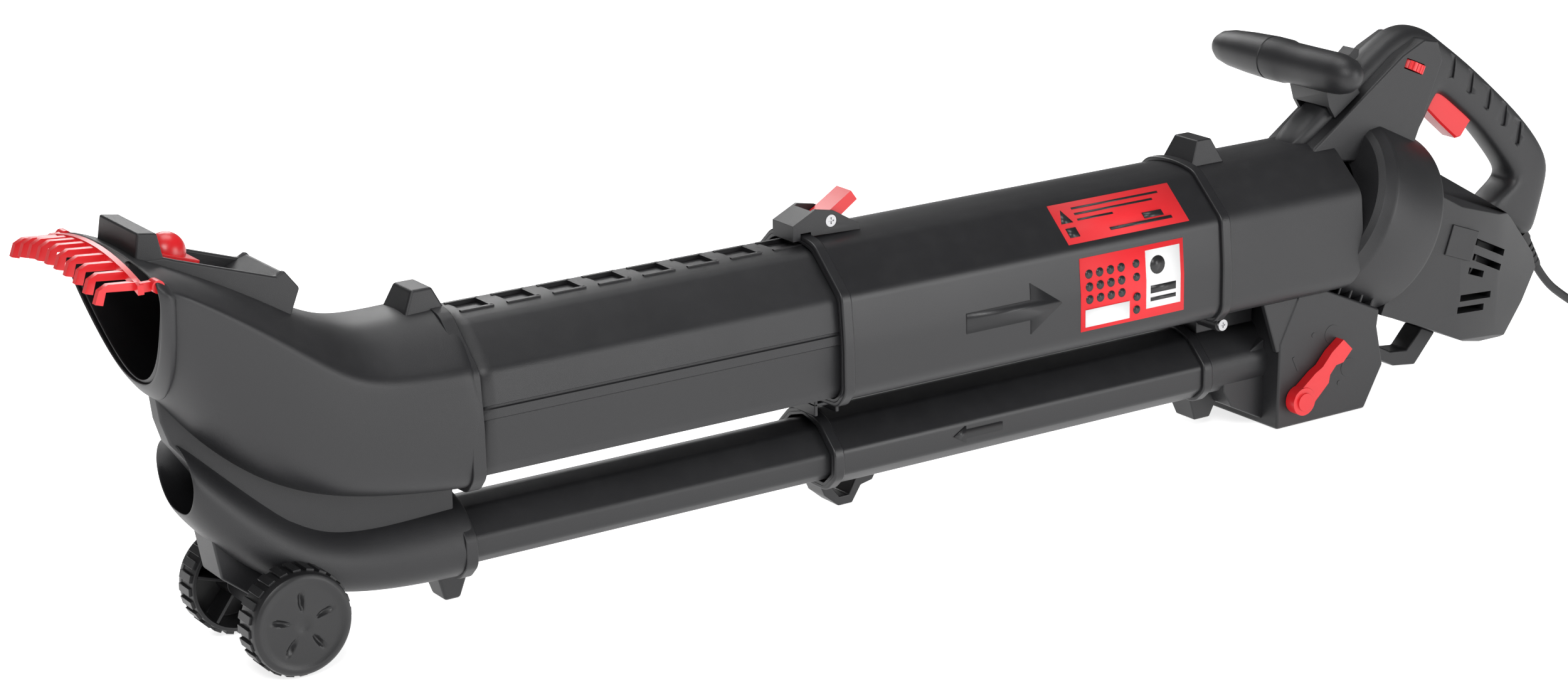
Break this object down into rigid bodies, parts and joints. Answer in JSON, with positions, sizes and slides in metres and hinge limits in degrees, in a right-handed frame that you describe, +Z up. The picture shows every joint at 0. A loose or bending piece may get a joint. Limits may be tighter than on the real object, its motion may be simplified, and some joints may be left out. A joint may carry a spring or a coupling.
{
  "type": "leaf blower",
  "caption": "Corded hand-held leaf blower and vacuum with telescopic suction and blow tubes, twin guide wheels, rake lip, diverter box, fan drum, motor pod and loop handle",
  "frame": {"origin": "middle of the flat underside of the diverter box, on the floor", "axes": "+X from the nozzles to the handle along the tubes, +Z up, +Y to the machine's right; millimetres in the source"},
  "size_m": [1.4302, 0.2805, 0.303],
  "materials": {
    "black_plastic": "fine-textured black polypropylene",
    "satin_black": "satin black blow-moulded plastic",
    "red_plastic": "semi-gloss red ABS",
    "grey_plastic": "dark grey glass-filled nylon",
    "tyre": "moulded black wheel",
    "grip_rubber": "soft-touch black grip",
    "cord_jacket": "black rubber mains lead",
    "steel": "zinc-plated steel",
    "laminate": "stacked electrical steel",
    "copper": "enamelled copper",
    "board": "green circuit board",
    "carbon": "pressed carbon",
    "brass": "bare brass",
    "plug_plastic": "moulded black plug"
  },
  "bodies": {
    "machine": {"outer_suction_tube": "satin_black", "outer_blow_tube": "satin_black", "lock_housing": "black_plastic", "lock_screw": "steel", "fan_housing_left": "black_plastic", "fan_housing_right": "black_plastic", "front_bearing": "steel", "rear_bearing": "steel", "motor_bracket": "grey_plastic", "rear_bracket": "grey_plastic", "inlet_ring": "black_plastic", "stator": "laminate", "brush_holders": "brass", "carbon_brushes": "carbon", "motor_housing_left": "black_plastic", "motor_housing_right": "black_plastic", "handle_left": "black_plastic", "handle_right": "black_plastic", "power_switch": "grey_plastic", "control_board": "board", "bag_hook": "black_plastic", "housing_screws": "steel", "tube_screws": "steel", "cord_gland": "cord_jacket", "power_cord": "cord_jacket", "plug": "plug_plastic", "plug_pins": "brass"},
    "nozzle_end": {"inner_suction_tube": "black_plastic", "inner_blow_tube": "black_plastic", "suction_nozzle": "black_plastic", "blow_nozzle": "black_plastic", "axle": "steel", "axle_rings": "steel"},
    "left_wheel": {"wheel_left": "tyre"},
    "right_wheel": {"wheel_right": "tyre"},
    "rake_bar": {"rake": "red_plastic"},
    "release": {"rake_release": "red_plastic"},
    "length_lock": {"lock_lever": "red_plastic"},
    "trigger_lever": {"trigger": "red_plastic"},
    "dial": {"speed_dial": "red_plastic"},
    "diverter": {"diverter_shaft": "steel", "diverter_flap": "grey_plastic", "diverter_lever": "red_plastic"},
    "rotor": {"impeller": "grey_plastic", "fan_nut": "steel", "motor_shaft": "steel", "armature": "laminate", "windings": "copper", "commutator": "copper"},
    "second_handle": {"aux_bracket": "black_plastic", "aux_grip": "grip_rubber", "aux_core": "steel", "aux_end_cap": "grip_rubber"},
    "clamp": {"aux_clamp": "black_plastic"}
  },
  "joints": [
    {"name": "tube_slide", "type": "slide", "parent": "machine", "child": "nozzle_end", "axis": [1, 0, 0], "range_m": [0, 0.24]},
    {"name": "wheel_left_spin", "type": "hinge", "parent": "nozzle_end", "child": "left_wheel", "pos_m": [-0.874, -0.0485, 0.0365], "axis": [0, 1, 0], "continuous": true},
    {"name": "wheel_right_spin", "type": "hinge", "parent": "nozzle_end", "child": "right_wheel", "pos_m": [-0.874, 0.0485, 0.0365], "axis": [0, 1, 0], "continuous": true},
    {"name": "rake_tilt", "type": "hinge", "parent": "nozzle_end", "child": "rake_bar", "pos_m": [-0.962, 0, 0.281], "axis": [0, 1, 0], "range_deg": [0, 30]},
    {"name": "release_slide", "type": "slide", "parent": "nozzle_end", "child": "release", "axis": [0.9488, 0, -0.3159], "range_m": [0, 0.008], "stiffness_N_per_m": 300},
    {"name": "lock_press", "type": "hinge", "parent": "machine", "child": "length_lock", "pos_m": [-0.4305, 0, 0.222], "axis": [0, 1, 0], "range_deg": [0, 8], "stiffness_Nm_per_rad": 0.6},
    {"name": "trigger_press", "type": "hinge", "parent": "machine", "child": "trigger_lever", "pos_m": [0.147, 0, 0.234], "axis": [0, -1, 0], "range_deg": [0, 6], "stiffness_Nm_per_rad": 0.8},
    {"name": "dial_turn", "type": "hinge", "parent": "machine", "child": "dial", "pos_m": [0.1155, -0.0152, 0.259], "axis": [0.4352, 0, 0.9003], "range_deg": [-135, 135]},
    {"name": "diverter_turn", "type": "hinge", "parent": "machine", "child": "diverter", "pos_m": [-0.0263, 0, 0.0218], "axis": [0, -1, 0], "range_deg": [-35, 38]},
    {"name": "rotor_spin", "type": "hinge", "parent": "machine", "child": "rotor", "pos_m": [0.066, 0, 0.1457], "axis": [0.9003, 0, -0.4352], "continuous": true},
    {"name": "second_handle_slide", "type": "slide", "parent": "machine", "child": "second_handle", "axis": [0.8377, 0, 0.5461], "range_m": [-0.03, 0.025]},
    {"name": "clamp_turn", "type": "hinge", "parent": "second_handle", "child": "clamp", "pos_m": [0.05242, 0, 0.26145], "axis": [0, -1, 0], "range_deg": [0, 60]}
  ]
}
